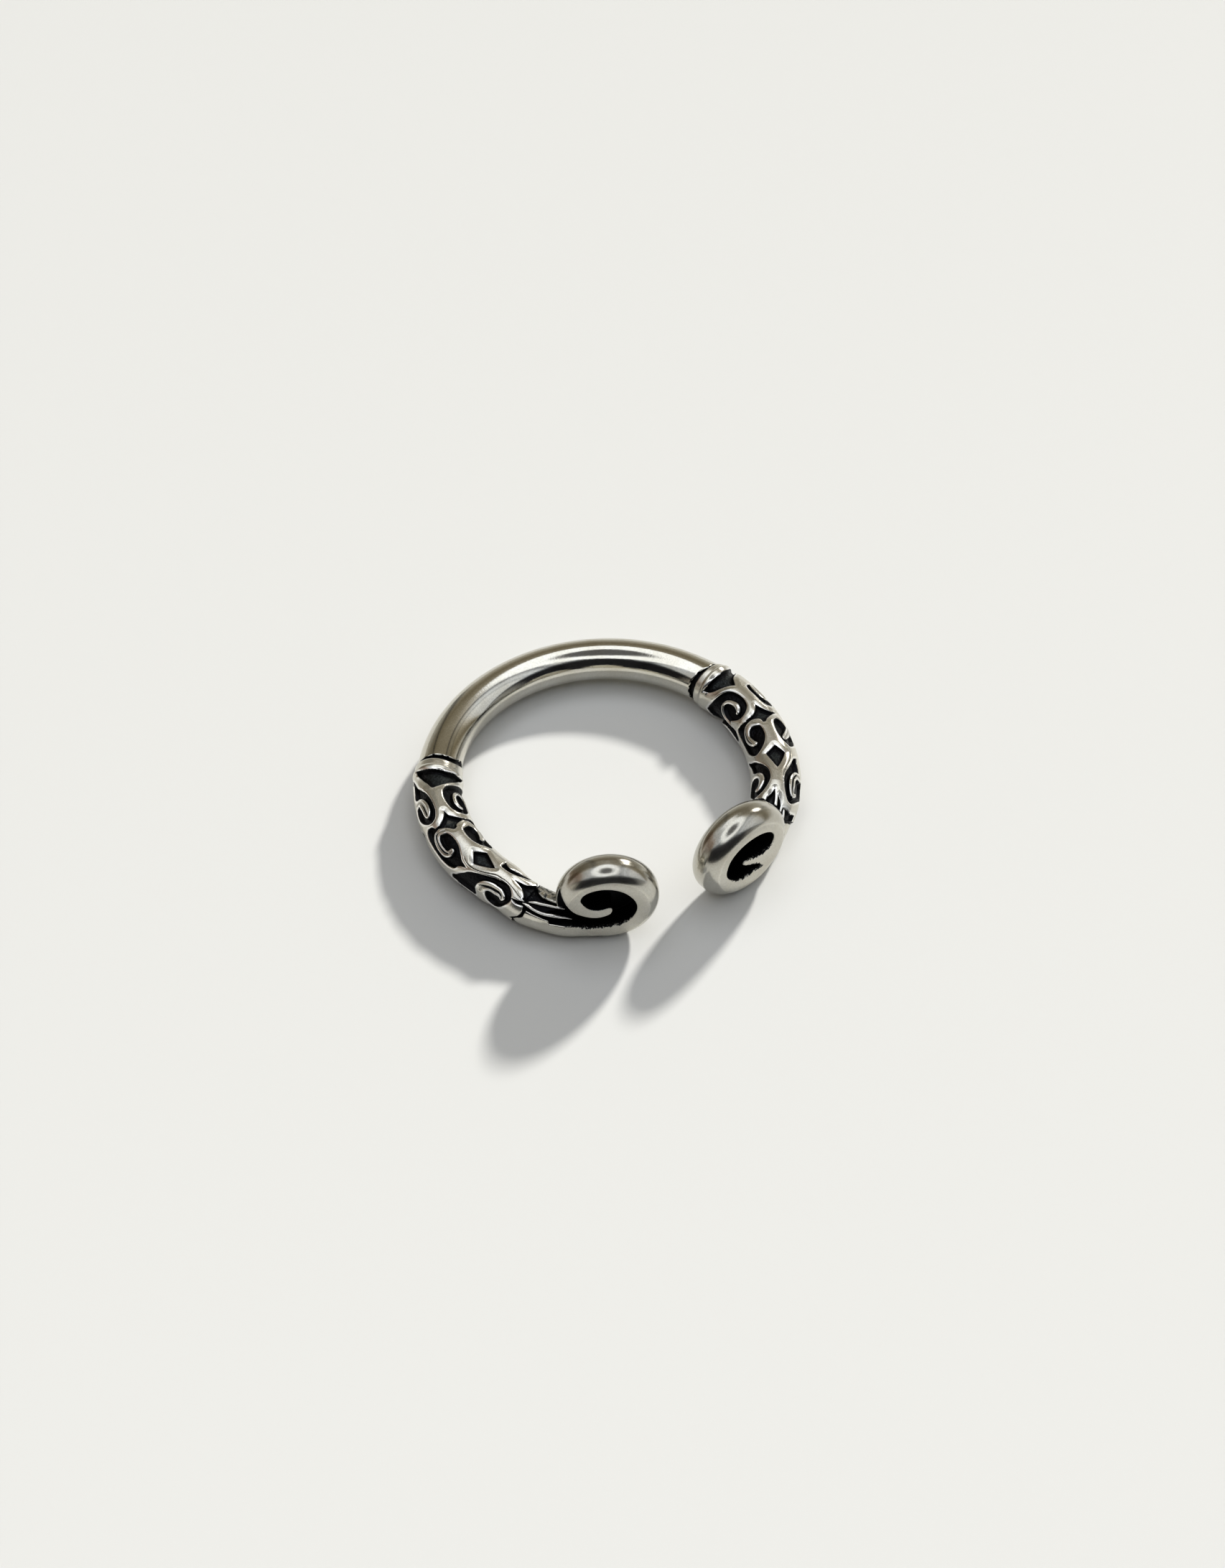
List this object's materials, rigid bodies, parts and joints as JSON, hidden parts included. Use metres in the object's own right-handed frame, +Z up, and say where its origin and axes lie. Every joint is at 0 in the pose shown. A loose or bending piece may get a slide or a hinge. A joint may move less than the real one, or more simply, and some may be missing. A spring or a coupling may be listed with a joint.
{
  "type": "open finger ring",
  "caption": "Open silver finger ring with a plain round shank, a carved sleeve on each side and two upright scroll ends that face each other across a small gap.",
  "frame": {"origin": "centre of the finger hole, on the plane that the ring lies on", "axes": "+Z up along the finger hole's axis, -Y towards the gap between the scroll ends, +X across the ring"},
  "size_m": [0.023, 0.0222, 0.0058],
  "materials": {
    "silver": "sterling silver, fine satin on the bar and the scroll faces, bright on edges and scroll tops, oxidised black in the recesses"
  },
  "bodies": {
    "root": {"ring": "silver"}
  },
  "joints": []
}
